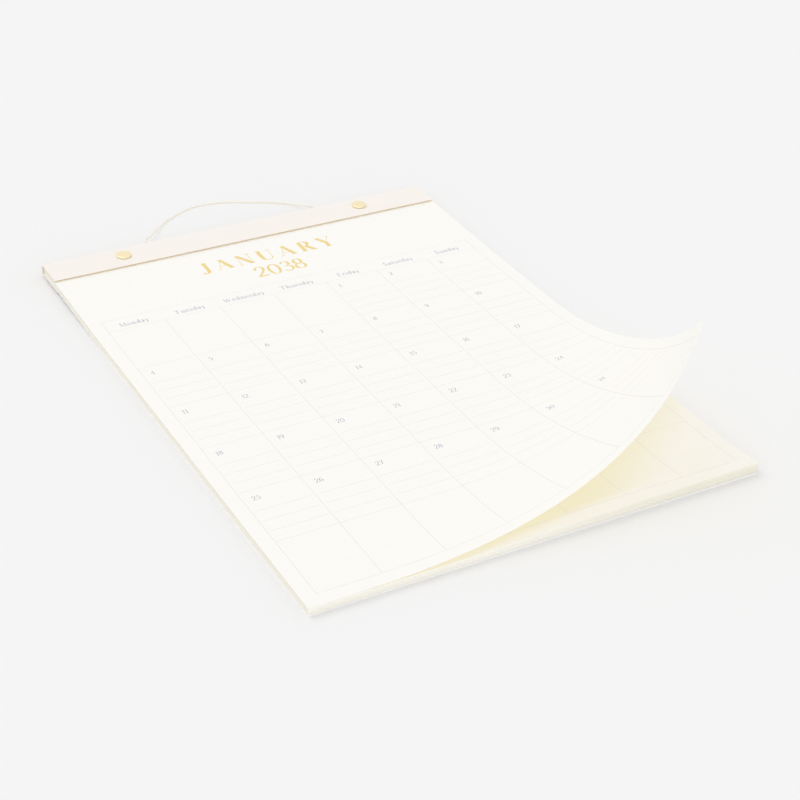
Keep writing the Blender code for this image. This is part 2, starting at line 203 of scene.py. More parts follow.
# Sideways from the middle, out from the spine, and height on the table, in millimetres
CORD_ROUTE = (
    (-69.0, 4.8, 4.9), (-68.8, 9.8, 4.6), (-65.5, 14.0, 4.1), (-61.6, 17.7, 3.6),
    (-52.1, 28.3, 2.2), (-43.0, 37.6, 1.2), (-34.5, 43.7, 0.8), (-26.6, 48.5, 0.8),
    (-14.5, 53.1, 0.8), (-3.9, 54.1, 0.8), (7.7, 52.4, 0.8), (18.4, 48.6, 0.8),
    (28.4, 43.5, 0.8), (38.6, 38.3, 0.8), (48.0, 32.7, 0.9), (54.5, 26.8, 1.3),
    (58.8, 20.5, 2.2), (61.5, 15.0, 3.3), (64.5, 9.7, 4.4), (67.2, 4.8, 4.9),
)


def smooth_line(points, substeps):
    """A smooth line through every point, with the same number of steps between any two."""
    points = np.asarray(points, float)
    ends = np.vstack([2 * points[0] - points[1], points, 2 * points[-1] - points[-2]])
    t = np.linspace(0, 1, substeps, endpoint=False)[:, None]
    runs = []
    for before, start, end, after in zip(ends, ends[1:], ends[2:], ends[3:]):
        bend = (2 * before - 5 * start + 4 * end - after) * t * t
        swing = (3 * start - before - 3 * end + after) * t * t * t
        runs.append((2 * start + (end - before) * t + bend + swing) / 2)
    return np.vstack([*runs, points[-1:]])


def looked_up(wanted, known, table):
    """Rows of a table for wanted places between the known ones."""
    return np.stack([np.interp(wanted, known, column) for column in table.T], axis=-1)


def evenly_spaced(line, count):
    """Points at equal distances along a line."""
    reach = np.concatenate([[0], np.cumsum(np.linalg.norm(np.diff(line, axis=0), axis=1))])
    return looked_up(np.linspace(0, reach[-1], count), reach, line)


def tube(line, radius_at, sides, closed=False):
    """Points and faces of a tube along a line. radius_at gives each ring's radii."""
    ahead = np.roll(line, -1, axis=0) - np.roll(line, 1, axis=0)
    if not closed:
        ahead[0], ahead[-1] = line[1] - line[0], line[-1] - line[-2]
    ahead /= np.linalg.norm(ahead, axis=1)[:, None]
    angles = np.linspace(0, 2 * math.pi, sides, endpoint=False)
    up = np.array([0.0, 0.0, 1.0])
    points = []
    for ring, (centre, direction) in enumerate(zip(line, ahead)):
        up = up - direction * up.dot(direction)
        up /= np.linalg.norm(up)
        side = np.cross(direction, up)
        radii = radius_at(ring, angles)[:, None]
        points.append(centre + radii * (np.outer(np.cos(angles), side) + np.outer(np.sin(angles), up)))
    rings = len(line)
    faces = []
    for ring in range(rings if closed else rings - 1):
        here, there = ring * sides, (ring + 1) % rings * sides
        for i in range(sides):
            j = (i + 1) % sides
            faces.append((here + i, here + j, there + j, there + i))
    if not closed:
        faces.append(tuple(range(sides))[::-1])
        faces.append(tuple(range((rings - 1) * sides, rings * sides)))
    return np.vstack(points), faces


def twisted(ring, angles):
    """Radii of a ring of three strands, turned on from the ring before."""
    turn = 2 * math.pi * ring / RINGS_IN_A_TWIST
    dip = (1 - np.abs(np.cos(CORD_STRANDS / 2 * (angles - turn)))) * LOBE_DEPTH_SHARE
    return CORD_DIAMETER / 2 * (1 - dip)


knot_places = [np.array([sign * CORD_SPACING / 2, KNOT_Y, CORD_HOLE_Z]) for sign in (-1, 1)]
exits = [np.array([sign * CORD_SPACING / 2, SPINE_BACK_Y, CORD_HOLE_Z]) for sign in (-1, 1)]
route = np.array(CORD_ROUTE) * MM + (0, SPINE_BACK_Y, 0)
bends = [knot_places[0], exits[0], *route, exits[1], knot_places[1]]
cord_line = smooth_line(bends, ROUTE_SUBSTEPS)
cord_length = float(np.linalg.norm(np.diff(cord_line, axis=0), axis=1).sum())
ring_count = round(cord_length / CORD_TWIST_LENGTH * RINGS_IN_A_TWIST)
cord_line = evenly_spaced(cord_line, ring_count)
cord = add_piece("cotton_cord", *tube(cord_line, twisted, RING_SIDES), cotton, "cord_thread")
cord.data.shade_smooth()
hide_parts("hanging_cord")
print(f"cord: {cord_length:.4f} m, {ring_count} rings")

# %% [markdown]
# Inside the fold each end is tied in an overhand knot, which can't slip back through the
# hole. Drawn tight it is a trefoil, and that has a formula: it goes three times round its
# middle, up and down between its own turns.

# %% Knots
KNOT_POINTS = 66
KNOT_SIDES = 10


def trefoil(middle):
    """Points of a trefoil knot that lies across the cord."""
    t = np.linspace(0, 2 * math.pi, KNOT_POINTS, endpoint=False)
    across = np.sin(t) + 2 * np.sin(2 * t)
    upward = np.cos(t) - 2 * np.cos(2 * t)
    along = -np.sin(3 * t)
    size = (KNOT_RADIUS - KNOT_THREAD_RADIUS) / 3
    return middle + size * np.stack([across, along, upward], axis=1)


def even_thread(ring, angles):
    return np.full(len(angles), KNOT_THREAD_RADIUS)


for side, place in zip(("left", "right"), knot_places):
    shape = tube(trefoil(place), even_thread, KNOT_SIDES, closed=True)
    knot = add_piece(f"cord_knot_{side}", *shape, cotton, "cord_thread")
    knot.data.shade_smooth()

# %% [markdown]
# Now the shape of the stack. The sheets lie loose on the board at the free edge, where
# air keeps them a little apart, and they climb about two millimetres onto the header's
# rear flap, where the posts clamp them. Beside the curl the foot of the block has sprung
# up a little more. Small functions give the climb, the swelling and the spring at any
# place, for every layer and its print.

# %% Shape of the stack
SHEET_THICKNESS = 0.3 * MM
BLOCK_THICKNESS = 3.2 * MM
BLOCK_SWELL = 0.8 * MM
BOARD_THICKNESS = 0.9 * MM
SEAT_GAP = 0.3 * MM
RISE_LENGTH = 0.090
FOOT_SPRING = 2.2 * MM
FOOT_SPRING_LEFT_X = -0.060
FOOT_SPRING_WIDTH = 0.110
FOOT_SPRING_DEPTH = 0.034

board_low, board_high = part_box("back_board")
SHEET_WIDTH = board_high.x - board_low.x
SHEET_BOTTOM_Y = board_low.y
SHEET_TOP_Y = board_high.y
RISE_HEIGHT = board_high.z - BOARD_THICKNESS
RISE_START_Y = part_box("header_strip")[0].y - RISE_LENGTH
BLOCK_SEAT_Z = BOARD_THICKNESS + SEAT_GAP
BLOCK_FACE_Z = BLOCK_SEAT_Z + BLOCK_THICKNESS
SHEET_FACE_Z = BLOCK_FACE_Z + SEAT_GAP + SHEET_THICKNESS


def smoothstep(value):
    share = np.clip(value, 0, 1)
    return share * share * (3 - 2 * share)


def bound_share(y):
    """0 where the sheets lie loose on the table, 1 where the posts clamp them."""
    return smoothstep((y - RISE_START_Y) / RISE_LENGTH)


def rise(y):
    return RISE_HEIGHT * bound_share(y)


def swell(y):
    return BLOCK_SWELL * (1 - bound_share(y))


def foot_spring(x, y):
    along = smoothstep((x - FOOT_SPRING_LEFT_X) / FOOT_SPRING_WIDTH)
    return FOOT_SPRING * along * smoothstep(1 - (y - SHEET_BOTTOM_Y) / FOOT_SPRING_DEPTH)


print(f"sheet {SHEET_WIDTH * 1000:.1f} x {(SHEET_TOP_Y - SHEET_BOTTOM_Y) * 1000:.1f} mm")
print(f"faces: second sheet {BLOCK_FACE_Z * 1000:.1f} mm, front sheet {SHEET_FACE_Z * 1000:.1f} mm")

# %% [markdown]
# Paper bends but doesn't stretch. Where a corner curls up, straight lines stay in the
# sheet, and here they fan out from one far point on the crease, so the curl is part of a
# cone. It could be sculpted, or bent with a modifier, but neither keeps the paper's
# lengths. Instead a small frame of two directions is walked across the fan. At every step
# it turns in the sheet by the step's angle, and about the straight line by the bend there.
# A table of where the line then points gives the place of any point of the flat sheet,
# and of all its print.

# %% Curl of the front sheet
CREASE_UP_RIGHT_EDGE = 0.2260
CREASE_ALONG_BOTTOM_EDGE = 0.2680
FAN_POINT_PAST_EDGE = 0.4140
CURL_ANGLE = math.radians(79.0)
CURL_BEND_SHARES = (0.585, 0.665, -0.250)
CURL_STEPS = 600

corner = np.array([SHEET_WIDTH / 2, SHEET_BOTTOM_Y])
on_edge = corner + (0, CREASE_UP_RIGHT_EDGE)
on_bottom = corner - (CREASE_ALONG_BOTTOM_EDGE, 0)
crease = (on_bottom - on_edge) / np.linalg.norm(on_bottom - on_edge)
across_crease = np.array([-crease[1], crease[0]])
fan_point = on_edge - crease * FAN_POINT_PAST_EDGE


def fan_angle(flat):
    arm = flat - fan_point
    return np.arctan2(arm @ across_crease, arm @ crease)


def turned_by(vector, axis, angle):
    """A vector turned about a unit axis."""
    swung = np.cross(axis, vector) * math.sin(angle)
    return vector * math.cos(angle) + swung + axis * axis.dot(vector) * (1 - math.cos(angle))


def walk_the_fan():
    """Angles of the fan, and where the straight line and the sheet's face point at each."""
    corner_angle = float(fan_angle(corner))
    step = corner_angle / CURL_STEPS
    start, middle, end = CURL_BEND_SHARES
    line = np.array([*crease, 0.0])
    side = np.array([*across_crease, 0.0])
    lines, normals = [line], [np.cross(line, side)]
    for i in range(CURL_STEPS + 1):
        share = (i + 0.5) / CURL_STEPS
        bend = (start + 2 * middle * share + 3 * end * share * share) * CURL_ANGLE / corner_angle
        turn = np.cross(line, side) + line * bend
        size = np.linalg.norm(turn)
        line = turned_by(line, turn / size, size * step)
        side = turned_by(side, turn / size, size * step)
        lines.append(line)
        normals.append(np.cross(line, side))
    return np.arange(CURL_STEPS + 2) * step, np.array(lines), np.array(normals)


fan_angles, fan_lines, fan_normals = walk_the_fan()


def on_front_sheet(points):
    """Flat points, with their height above the printed face, as places on the curled sheet."""
    points = np.asarray(points, float)
    flat, height = points[..., :2], points[..., 2:]
    angle = fan_angle(flat)
    arm = np.linalg.norm(flat - fan_point, axis=-1, keepdims=True)
    curled = (*fan_point, 0.0) + looked_up(angle, fan_angles, fan_lines) * arm
    level = np.concatenate([flat, np.zeros_like(height)], axis=-1)
    place = np.where(angle[..., None] > 0, curled, level)
    face_up = looked_up(angle, fan_angles, fan_normals)
    normal = np.where(angle[..., None] > 0, face_up, (0.0, 0.0, 1.0))
    place = place + normal * (height + SHEET_THICKNESS / 2)
    place[..., 2] += rise(place[..., 1]) + swell(place[..., 1]) + SHEET_FACE_Z - SHEET_THICKNESS / 2
    return place


def on_second_sheet(points):
    """Flat points, with their height, as places on the second sheet's face."""
    placed = np.array(points, float)
    x, y = placed[..., 0], placed[..., 1]
    placed[..., 2] += BLOCK_FACE_Z + rise(y) + swell(y) + foot_spring(x, y)
    return placed


tip = on_front_sheet([[*corner, 0.0]])[0]

# %% [markdown]
# The sheets are smooth uncoated paper. Held against the light it would show soft clouds,
# where the fibres lie denser, about 8 mm across. From above the paper is a warm white
# with the slightest change of tone. Its surface is matt, with a fine tooth. Real fibres
# are 0.03 mm wide, too fine to show, so the tooth is drawn at 0.4 mm. Paper still has the
# reflection of any plain dielectric: an index of refraction of 1.5 and a high roughness.

# %% Materials of the sheets: uncoated paper
PAPER_CLOUD = 8 * MM
PAPER_TOOTH = 0.4 * MM


def uncoated_paper(name, dark, light):
    finish = new_material(name, Roughness=0.88, IOR=1.5)
    add_grain(finish, PAPER_CLOUD, (dark, light), roughness=0.5)
    add_grain(finish, PAPER_TOOTH, bump=(0.25, 0.02 * MM), roughness=0.55)
    return finish


front_paper = uncoated_paper("uncoated_paper_front", "#FBF9F4", "#FDFBF7")
month_paper = uncoated_paper("uncoated_paper_months", "#F7F4EE", "#F9F8F4")
print("materials:", front_paper.name, month_paper.name)

# %% [markdown]
# Paper this thin lets much of the light through, and the light comes out warmer. That
# makes the shade under the curled corner soft and a little warm; most of its gold is
# painted into the second sheet in the next step. The sheet could scatter the light, but
# then the corner itself would darken, where a real sheet is also lit from below by
# everything pale around it. Here only the light on its way to other surfaces may pass,
# where the sheet has left the stack, that is, beyond the crease. What the eye sees stays
# solid paper. How far a place lies beyond the crease is a dot product of the place with
# the direction across it. The cord's pale strands are thin as well and pass light on, so
# its shadow is faint.

# %% Light through the front sheet
SHEET_THROUGH_SHARE = 0.96
CORD_THROUGH_SHARE = 0.6
CLEAR_AFTER = 10 * MM


def growing(tree, direction, start, end, most=1.0):
    """Grows from 0 to its most between two distances along a direction in the sheet."""
    place = add_node(tree, "TexCoord").outputs["Object"]
    settings = {"operation": "DOT_PRODUCT"}
    reach = add_node(tree, "VectorMath", settings, {0: place, 1: (*direction, 0.0)})
    settings = {"interpolation_type": "SMOOTHSTEP"}
    inputs = {"Value": reach.outputs["Value"], "From Min": start, "From Max": end, "To Max": most}
    return add_node(tree, "MapRange", settings, inputs).outputs[0]


def beyond_crease(tree, start, end, most=1.0):
    """Grows from 0 to its most between two distances beyond the crease."""
    at_crease = float(on_edge @ across_crease)
    return growing(tree, across_crease, at_crease + start, at_crease + end, most)


def mix_over(finish, rays, share, second):
    """Mixes a second shader over the main one, by a share of some kinds of rays."""
    tree, shader = inside(finish)
    inputs = {0: rays, 1: share}
    part = add_node(tree, "Math", {"operation": "MULTIPLY"}, inputs).outputs[0]
    inputs = {0: part, 1: shader.outputs[0], 2: second.outputs[0]}
    both = add_node(tree, "MixShader", inputs=inputs)
    tree.links.new(both.outputs[0], tree.nodes["Material Output"].inputs["Surface"])


def let_light_through(finish, share_through, tint):
    tree = finish.node_tree
    path = add_node(tree, "LightPath").outputs
    inputs = {0: path["Is Diffuse Ray"], 1: path["Is Shadow Ray"]}
    lighting = add_node(tree, "Math", {"operation": "MAXIMUM"}, inputs).outputs[0]
    clear = add_node(tree, "BsdfTransparent", inputs={"Color": linear(tint)})
    mix_over(finish, lighting, share_through, clear)


lifted = beyond_crease(front_paper.node_tree, 0.0, CLEAR_AFTER, SHEET_THROUGH_SHARE)
let_light_through(front_paper, lifted, "#FFFCF3")
let_light_through(cotton, CORD_THROUGH_SHARE, "#FFFDF4")

# %% [markdown]
# Where the front sheet covers it, the second sheet is painted a deeper cream. This is
# painted shade: the warm shade that falls under the lifted sheet. It is lighter towards
# the free corner, and along the foot, where light creeps in under the front sheet, further
# in where that sheet stands higher. So one share grows beyond the crease, another towards
# a slanted line near the foot, and the larger counts. The curled corner of the front sheet
# is painted a cooler white, which offsets the warm tint of the light that reaches it.

# %% Painted shade on the second sheet, and a cooler curled corner
SHADE_PAINTED_UNTIL = 0.083
SHADE_GONE_FROM = 0.126
FOOT_SHADE_PAINTED_AFTER = 11 * MM
FOOT_UNSHADED_FOR = 2 * MM
FOOT_SLANT = 0.12
CORNER_COOLING_FROM = 0.080
CORNER_COOLED_FROM = 0.165

month_tree = month_paper.node_tree
limits = [-(SHEET_BOTTOM_Y + reach) for reach in (FOOT_SHADE_PAINTED_AFTER, FOOT_UNSHADED_FOR)]
shares = {
    0: beyond_crease(month_tree, SHADE_PAINTED_UNTIL, SHADE_GONE_FROM),
    1: growing(month_tree, (FOOT_SLANT, -1.0), *limits),
}
lit_share = add_node(month_tree, "Math", {"operation": "MAXIMUM"}, shares).outputs[0]
# Painted shade: a deeper cream where the front sheet covers the second sheet
retone(month_paper, lit_share, before="#F4EFD8")

# Painted light: the curled corner turns a cooler white, against the warm light on it
corner_cooling_share = beyond_crease(front_paper.node_tree, CORNER_COOLING_FROM, CORNER_COOLED_FROM)
retone(front_paper, corner_cooling_share, after="#FAFAFA")
print(f"the corner lies {float((corner - on_edge) @ across_crease) * 1000:.0f} mm beyond the crease")

# %% [markdown]
# A guillotine cuts the whole stack at once and leaves the edges cream and a bit rough,
# with streaks along the sheets where the blade pressed some fibres flat. The streaks are
# long and thin, so the noise that draws them is squeezed: 12 mm along the sheet for every
# 0.3 mm of its height. Towards the curled corner the edges are painted a shade darker,
# which is painted shade. The fine slits swallow a share of the light that falls on them,
# so the edges throw less light on the table than they show to the eye.

# %% Material of the sheets' edges: cut paper
STREAK_LENGTH = 12 * MM
STREAK_HEIGHT = 0.3 * MM
SWALLOWED_SHARE = 0.3
EDGE_DARKENS_FROM = 0.03
EDGE_DARKENS_TO = 0.17

cut_edge = new_material("cut_paper_edge", Roughness=0.9, IOR=1.5)
tree = cut_edge.node_tree
place = add_node(tree, "TexCoord").outputs["Object"]
scale = (1 / STREAK_LENGTH, 1 / STREAK_LENGTH, 1 / STREAK_HEIGHT)
squeezed = add_node(tree, "Mapping", inputs={"Vector": place, "Scale": scale}).outputs[0]
add_grain(cut_edge, 1.0, ("#FDF8EA", "#FFFEFB"), (0.25, 0.02 * MM), place=squeezed)
# Painted shade: the edge colour darkens towards the curled corner
painted_edge_shade = beyond_crease(tree, EDGE_DARKENS_FROM, EDGE_DARKENS_TO)
retone(cut_edge, painted_edge_shade, after="#F8F7EF", blend="MULTIPLY")
dark = add_node(tree, "BsdfDiffuse", inputs={"Color": (0.0, 0.0, 0.0, 1.0)})
falling_light = add_node(tree, "LightPath").outputs["Is Diffuse Ray"]
mix_over(cut_edge, falling_light, SWALLOWED_SHARE, dark)
print("material:", cut_edge.name)

# %% [markdown]
# A sheet is a thin closed slab: a grid of points for its face, the same grid a thickness
# lower for its back, and a rim between them. One function serves the large sheets, and
# later each printed line, which is a very thin slab of ink, two points wide.

# %% Slabs
def at_height(x, y, z):
    """A grid of points from the grids of their x and y, at one height or a grid of heights."""
    return np.stack([x, y, np.zeros_like(x) + z], axis=-1)


def slab(top, bottom):
    """Points and faces of a closed slab between two grids of points, the rim's faces last."""
    rows, columns = top.shape[:2]
    points = np.concatenate([top.reshape(-1, 3), bottom.reshape(-1, 3)])
    below = rows * columns
    faces = []
    for r in range(rows - 1):
        for c in range(columns - 1):
            i = r * columns + c
            quad = (i, i + 1, i + columns + 1, i + columns)
            faces.append(quad)
            faces.append(tuple(below + k for k in reversed(quad)))
    rim = [*range(columns), *(r * columns + columns - 1 for r in range(1, rows))]
    rim += [*((rows - 1) * columns + c for c in reversed(range(columns - 1)))]
    rim += [r * columns for r in reversed(range(1, rows - 1))]
    for here, there in zip(rim, rim[1:] + rim[:1]):
        faces.append((there, here, here + below, there + below))
    return points, faces, len(rim)


def joined(parts):
    """Many slabs as one mesh."""
    points, faces, start = [], [], 0
    for part_points, part_faces, _ in parts:
        points.append(part_points)
        faces += [tuple(start + k for k in face) for face in part_faces]
        start += len(part_points)
    return np.vstack(points), faces


# %% [markdown]
# The front sheet is a grid of four-millimetre squares, laid through the curl. Smooth
# shading carries the light round the bend, and the cut rim stays crisp. Where the sheet
# lies flat, its back comes down almost to the next sheet, so that no dark slit shows
# between the two at the edges, and it thins to a single sheet where it lifts off.

# %% Front sheet
SHEET_CELL = 4 * MM
RIM_ANGLE = math.radians(40)
SEAT_FILL = 0.25 * MM
THIN_AFTER = 8 * MM

across = np.linspace(-SHEET_WIDTH / 2, SHEET_WIDTH / 2, round(SHEET_WIDTH / SHEET_CELL) + 1)
rows = round((SHEET_TOP_Y - SHEET_BOTTOM_Y) / SHEET_CELL)
upward = np.linspace(SHEET_BOTTOM_Y, SHEET_TOP_Y, rows + 1)
grid_x, grid_y = np.meshgrid(across, upward)
face = on_front_sheet(at_height(grid_x, grid_y, 0))
lifted_by = (np.stack([grid_x, grid_y], axis=-1) - on_edge) @ across_crease
back_z = -SHEET_THICKNESS - SEAT_FILL * smoothstep(1 - lifted_by / THIN_AFTER)
back = on_front_sheet(at_height(grid_x, grid_y, back_z))
points, faces, _ = slab(face, back)
front_sheet = add_piece("month_sheet_front", points, faces, front_paper, "sheet_paper")
front_sheet.data.shade_smooth()
front_sheet.data.set_sharp_from_angle(angle=RIM_ANGLE)
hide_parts("front_sheet")
highest = [round(v * 1000, 1) for v in face.reshape(-1, 3).max(axis=0)]
print("front sheet:", len(faces), "faces; furthest right, up and high, in mm:", highest)

# %% [markdown]
# The rest of the month sheets are separate slabs too. They could be one block with a
# striped texture, but real sheets let light in between them and never lie exactly on top
# of each other, and that makes the edge of a pad look like paper. Each sheet is drawn in
# from the edges by its own small amount, up to a fifth of a millimetre, and only the
# uppermost keeps the full size. Loose sheets cling together, so most of the air between
# them is counted to the sheets. Only a hair-thin slit stays open, and a wider one where
# the foot has sprung up.

# %% Sheets of the block
MONTH_SHEETS = 11
SHEET_STAGGER = 0.20 * MM
STAGGER_SEED = 12
ROW_SPACING = 9 * MM
SHEET_FILL_SHARE = 0.98
SPRING_STEPS = 10
SPRING_OPEN_SHARE = 0.25
BLOCK_FOOT_Z = BOARD_THICKNESS + 0.15 * MM

chance = np.random.default_rng(STAGGER_SEED)
foot_rows = SHEET_BOTTOM_Y + FOOT_SPRING_DEPTH * np.arange(1, SPRING_STEPS + 1) / SPRING_STEPS
rows_left = round((SHEET_TOP_Y - foot_rows[-1]) / ROW_SPACING)
rows_y = np.concatenate([foot_rows, np.linspace(foot_rows[-1], SHEET_TOP_Y, rows_left + 1)[1:]])
columns_x = FOOT_SPRING_LEFT_X + FOOT_SPRING_WIDTH * np.arange(SPRING_STEPS + 1) / SPRING_STEPS
parts = []
for number in range(MONTH_SHEETS):
    insets = chance.uniform(0, SHEET_STAGGER, 3)
    if number == MONTH_SHEETS - 1:
        insets[:] = 0
    left, right, foot = insets
    y = [SHEET_BOTTOM_Y + foot, *rows_y]
    x = [-SHEET_WIDTH / 2 + left, *columns_x, SHEET_WIDTH / 2 - right]
    sheet_x, sheet_y = np.meshgrid(x, y)
    level = (number + 1) / MONTH_SHEETS
    spring = foot_spring(sheet_x, sheet_y)
    thickness = BLOCK_FACE_Z - BLOCK_FOOT_Z + swell(sheet_y) + spring
    top_z = BLOCK_FOOT_Z + level * thickness + rise(sheet_y)
    back_z = top_z - (thickness * SHEET_FILL_SHARE - spring * SPRING_OPEN_SHARE) / MONTH_SHEETS
    parts.append(slab(*(at_height(sheet_x, sheet_y, z) for z in (top_z, back_z))))
points, faces = joined(parts)
block = add_piece("month_sheets", points, faces, month_paper, "block_paper")
block.data.materials.append(cut_edge)
faces_so_far = 0
for _, part_faces, rim_count in parts:
    faces_so_far += len(part_faces)
    for index in range(faces_so_far - rim_count, faces_so_far):
        block.data.polygons[index].material_index = 1
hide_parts("page_block")
print(f"block: {MONTH_SHEETS} sheets, {len(faces)} faces")

# %% [markdown]
# Print is a film of ink. A texture could draw it, but only as fine as its pixels. Here
# every line and letter is a very thin slab that follows the sheet, so its edges stay
# sharp at any distance. Real ink stands 0.002 mm proud. A film that thin would flicker
# against the paper, so it stands 0.02 mm proud, and its lower side is sunk into the
# sheet. The rules are pale grey, the small lettering violet grey, the large one soft gold.

# %% Materials of the print: offset inks
INK_PROUD = 0.02 * MM
INK_SUNK = 0.02 * MM
INK_MOTTLE = 1.5 * MM


def offset_ink(name, dark, light, roughness):
    ink = new_material(name, Roughness=roughness, IOR=1.5)
    add_grain(ink, INK_MOTTLE, (dark, light))
    return ink


rule_ink = offset_ink("grey_offset_ink", "#D0CFD0", "#DADADA", 0.8)
letter_ink = offset_ink("violet_grey_offset_ink", "#9290AC", "#A6A4BC", 0.75)
gold_ink = offset_ink("gold_offset_ink", "#EDD084", "#F3DC98", 0.55)
print("inks:", rule_ink.name, letter_ink.name, gold_ink.name)

# %% [markdown]
# The month grid is a frame with seven columns, a row for the names of the days and six
# rows of weeks. A cell with a number has three writing lines, at two, three and four
# fifths of its height, which stop short of the columns. The lines between columns are
# printed a little stronger than the others.

# %% Grid of the month
FRAME_MARGIN = 9.45 * MM
FRAME_TOP_Y = 0.1195
WEEKS_TOP_Y = 0.1055
FRAME_BOTTOM_Y = -0.2018
COLUMNS = 7
WEEKS = 6
COLUMN_LINE = 0.165 * MM
ROW_LINE = 0.11 * MM
WRITING_SHARES = (0.4, 0.6, 0.8)
WRITING_MARGIN = 2.2 * MM
LINE_STEP = 5 * MM

FRAME_SIDE = SHEET_WIDTH / 2 - FRAME_MARGIN
COLUMN_WIDTH = 2 * FRAME_SIDE / COLUMNS
WEEK_HEIGHT = (WEEKS_TOP_Y - FRAME_BOTTOM_Y) / WEEKS


def ribbon(left, right):
    """A slab of ink between two flat lines of points."""
    flat = np.stack([left, right], axis=1)
    return slab(*(at_height(flat[..., 0], flat[..., 1], z) for z in (INK_PROUD, -INK_SUNK)))


def ruled(start, end, width):
    """A straight printed line, in steps short enough to follow the curl."""
    start, end = np.array(start, float), np.array(end, float)
    reach = end - start
    steps = max(1, math.ceil(np.linalg.norm(reach) / LINE_STEP))
    middle = start + np.linspace(0, 1, steps + 1)[:, None] * reach
    sideways = np.array([-reach[1], reach[0]]) / np.linalg.norm(reach) * width / 2
    return ribbon(middle - sideways, middle + sideways)


def month_grid(numbered):
    """The printed lines of one month. numbered tells which cells have writing lines."""
    lines = []
    for column in range(COLUMNS + 1):
        x = -FRAME_SIDE + column * COLUMN_WIDTH
        top = FRAME_TOP_Y if column in (0, COLUMNS) else WEEKS_TOP_Y
        lines.append(ruled((x, top), (x, FRAME_BOTTOM_Y), COLUMN_LINE))
    for y in (FRAME_TOP_Y, *(WEEKS_TOP_Y - week * WEEK_HEIGHT for week in range(WEEKS + 1))):
        width = COLUMN_LINE if y == FRAME_BOTTOM_Y else ROW_LINE
        lines.append(ruled((-FRAME_SIDE, y), (FRAME_SIDE, y), width))
    for week, column in numbered:
        x = -FRAME_SIDE + column * COLUMN_WIDTH
        for share in WRITING_SHARES:
            y = WEEKS_TOP_Y - (week + share) * WEEK_HEIGHT
            ends = (x + WRITING_MARGIN, y), (x + COLUMN_WIDTH - WRITING_MARGIN, y)
            lines.append(ruled(*ends, ROW_LINE))
    return lines


def cells_of(first_column, days):
    """Week and column of each day of a month."""
    return [divmod(first_column + day, COLUMNS) for day in range(days)]


def print_on(sheet, name, ribbons, ink):
    """Lays ribbons of ink through the shape of a sheet, as one piece."""
    points, faces = joined(ribbons)
    add_piece(name, sheet(points), faces, ink)
    print(f"{name}: {len(faces)} faces")


front_cells = cells_of(first_column=4, days=31)
second_cells = cells_of(first_column=0, days=28)
print_on(on_front_sheet, "grid_front", month_grid(front_cells), rule_ink)
print_on(on_second_sheet, "grid_second", month_grid(second_cells), rule_ink)

# %% [markdown]
# The lettering has strong and fine strokes, as a broad pen makes them: thick where the
# pen moves down, hair-thin where it moves across. A font file could give that, but the
# same rule is easy to write down. Each letter is a few strokes in units of the height of
# a capital. A stroke is a stem (thick), a hairline (thin), a base (half as thick as a
# stem, for level strokes of figures), a bowl, which is a smooth curve whose thickness
# follows its direction, or a tail, which is a bowl that runs out thin. The x and y of its
# points follow. A ring is short for a bowl on an ellipse: its middle, two radii, and the
# angles of its ends. A foot is short for a fine serif: its middle and its reach.

# %% Letters
ARC_POINTS = 9


def arc(middle_x, middle_y, radius_x, radius_y, start, end):
    """Points on an ellipse, angles in degrees."""
    turns = [math.radians(start + (end - start) * i / (ARC_POINTS - 1)) for i in range(ARC_POINTS)]
    return [(middle_x + radius_x * math.cos(t), middle_y + radius_y * math.sin(t)) for t in turns]


def stroke(text):
    """A stroke's kind and points. A ring is a bowl on an ellipse, a foot a fine serif."""
    kind, *numbers = text.split()
    numbers = [float(number) for number in numbers]
    if kind == "ring":
        return "bowl", arc(*numbers)
    if kind == "foot":
        x, y, reach = numbers
        return "hair", [(x - reach, y), (x + reach, y)]
    return kind, list(zip(numbers[::2], numbers[1::2]))


